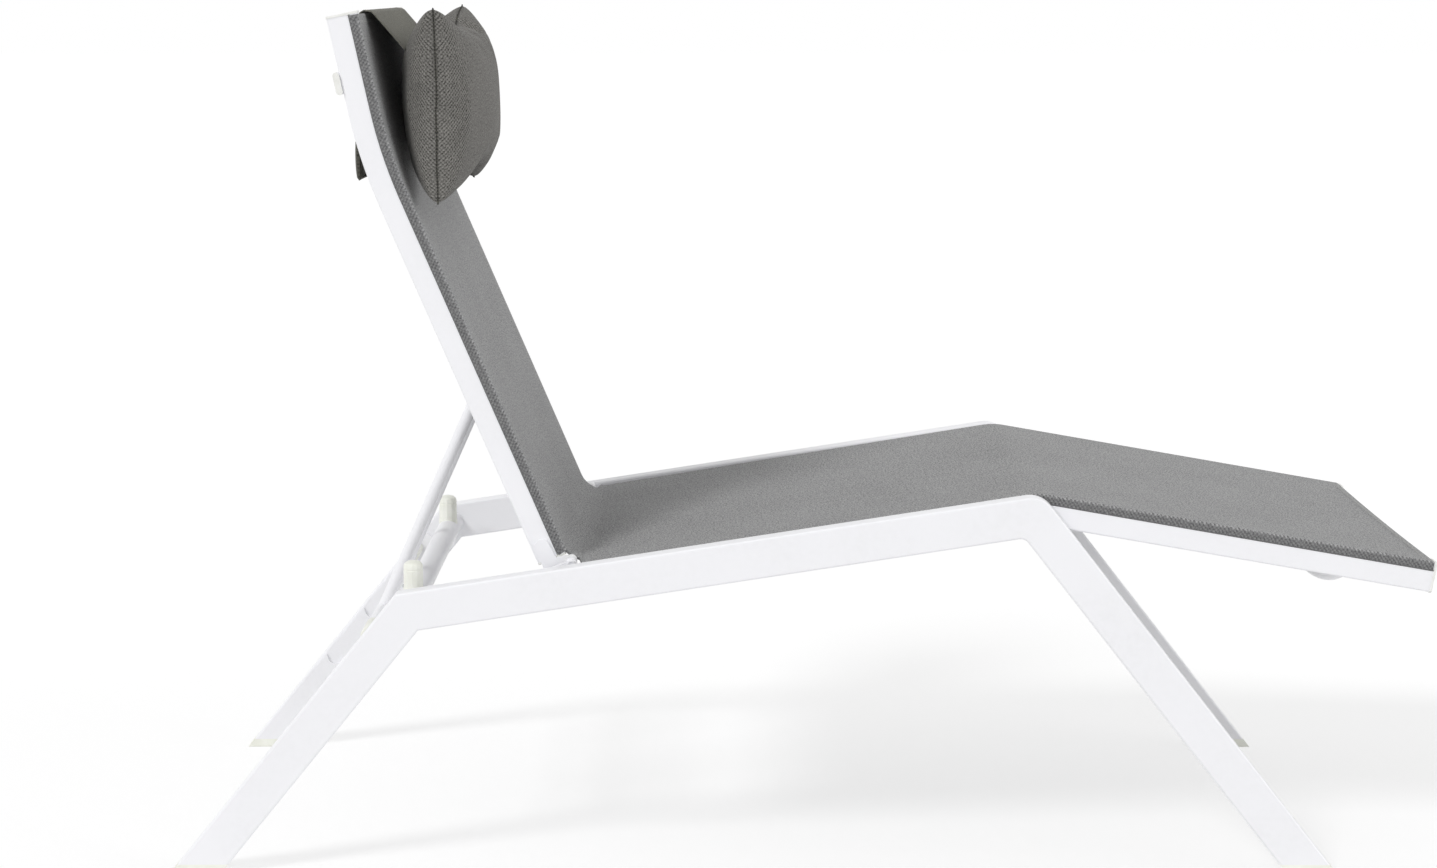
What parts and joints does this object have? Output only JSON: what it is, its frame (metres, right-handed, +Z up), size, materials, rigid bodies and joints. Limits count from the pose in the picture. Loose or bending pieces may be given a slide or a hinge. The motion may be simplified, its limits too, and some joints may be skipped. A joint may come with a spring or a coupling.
{
  "type": "sun lounger",
  "caption": "Reclining sling sun lounger with a folding backrest on a prop stay, flat tube side frames and a counterweighted hanging headrest pillow.",
  "frame": {"origin": "On the floor, in the middle of the length and width of the lounger, backrest upright.", "axes": "+X towards the foot end, +Y to the left of a person lying on it, +Z up."},
  "size_m": [1.5872, 0.608, 1.076],
  "materials": {
    "white_powder_coated_aluminium": "white satin powder coat",
    "cream_nylon": "moulded, matt",
    "white_cap_plastic": "moulded, satin",
    "stainless_steel": "turned",
    "grey_sling_mesh": "coated mesh weave",
    "grey_pillow_cloth": "fine coated mesh weave"
  },
  "bodies": {
    "base": {"bumper_left": "cream_nylon", "bumper_right": "cream_nylon", "foot_plug_front_left": "cream_nylon", "foot_plug_front_right": "cream_nylon", "foot_plug_rear_left": "cream_nylon", "foot_plug_rear_right": "cream_nylon", "foot_spreader_bow": "white_powder_coated_aluminium", "front_cross_tube": "white_powder_coated_aluminium", "front_leg_left": "white_powder_coated_aluminium", "front_leg_right": "white_powder_coated_aluminium", "hinge_bracket_bolts": "stainless_steel", "hinge_bracket_left": "white_powder_coated_aluminium", "hinge_bracket_right": "white_powder_coated_aluminium", "hinge_nuts": "stainless_steel", "hinge_pins": "stainless_steel", "hinge_washers": "cream_nylon", "rack_screws": "stainless_steel", "rear_cross_tube": "white_powder_coated_aluminium", "rear_leg_left": "white_powder_coated_aluminium", "rear_leg_right": "white_powder_coated_aluminium", "seat_bolts": "stainless_steel", "seat_cords": "cream_nylon", "seat_cross_tube": "white_powder_coated_aluminium", "seat_end_cap_left": "white_cap_plastic", "seat_end_cap_right": "white_cap_plastic", "seat_rail_left": "white_powder_coated_aluminium", "seat_rail_right": "white_powder_coated_aluminium", "seat_sling": "grey_sling_mesh", "seat_spacers": "cream_nylon", "seat_tail_caps": "white_cap_plastic", "side_rail_left": "white_powder_coated_aluminium", "side_rail_right": "white_powder_coated_aluminium", "stay_rack_left": "white_powder_coated_aluminium", "stay_rack_right": "white_powder_coated_aluminium"},
    "backrest": {"back_cords": "cream_nylon", "back_low_caps": "white_cap_plastic", "back_low_tube": "white_powder_coated_aluminium", "back_pivot_tube": "white_powder_coated_aluminium", "back_rail_left": "white_powder_coated_aluminium", "back_rail_right": "white_powder_coated_aluminium", "back_sling": "grey_sling_mesh", "back_top_cap_left": "white_cap_plastic", "back_top_cap_right": "white_cap_plastic", "back_top_tube": "white_powder_coated_aluminium", "back_top_tube_caps": "white_cap_plastic", "headrest_strap_back": "grey_sling_mesh", "headrest_strap_front": "grey_sling_mesh", "hinge_ear_left": "white_powder_coated_aluminium", "hinge_ear_right": "white_powder_coated_aluminium", "pivot_collars": "cream_nylon"},
    "stay": {"stay_foot_bar": "white_powder_coated_aluminium", "stay_leg_left": "white_powder_coated_aluminium", "stay_leg_right": "white_powder_coated_aluminium", "stay_nylon_end_left": "cream_nylon", "stay_nylon_end_right": "cream_nylon", "stay_ring_left": "cream_nylon", "stay_ring_right": "cream_nylon"},
    "headrest": {"headrest_pillow": "grey_pillow_cloth"},
    "counterweight": {"counterweight_flap": "grey_sling_mesh", "counterweight_bar": "stainless_steel"}
  },
  "joints": [
    {"name": "backrest_hinge", "type": "hinge", "parent": "base", "child": "backrest", "pos_m": [-0.2874, 0, 0.3915], "axis": [0, -1, 0], "range_deg": [0, 56]},
    {"name": "stay_hinge", "type": "hinge", "parent": "backrest", "child": "stay", "pos_m": [-0.40336, 0, 0.60735], "axis": [0, -1, 0], "range_deg": [-63, 0]},
    {"name": "headrest_slide", "type": "slide", "parent": "backrest", "child": "headrest", "axis": [0.3907, 0, -0.9205], "range_m": [0, 0.1], "deforming": ["headrest_strap_front"]},
    {"name": "counterweight_slide", "type": "slide", "parent": "backrest", "child": "counterweight", "axis": [0, 0, 1], "range_m": [0, 0.1], "deforming": ["headrest_strap_back"]}
  ],
  "couplings": [
    {"joint": "stay_hinge", "follows": "backrest_hinge", "ratio": -1.12},
    {"joint": "counterweight_slide", "follows": "headrest_slide", "ratio": 1}
  ]
}
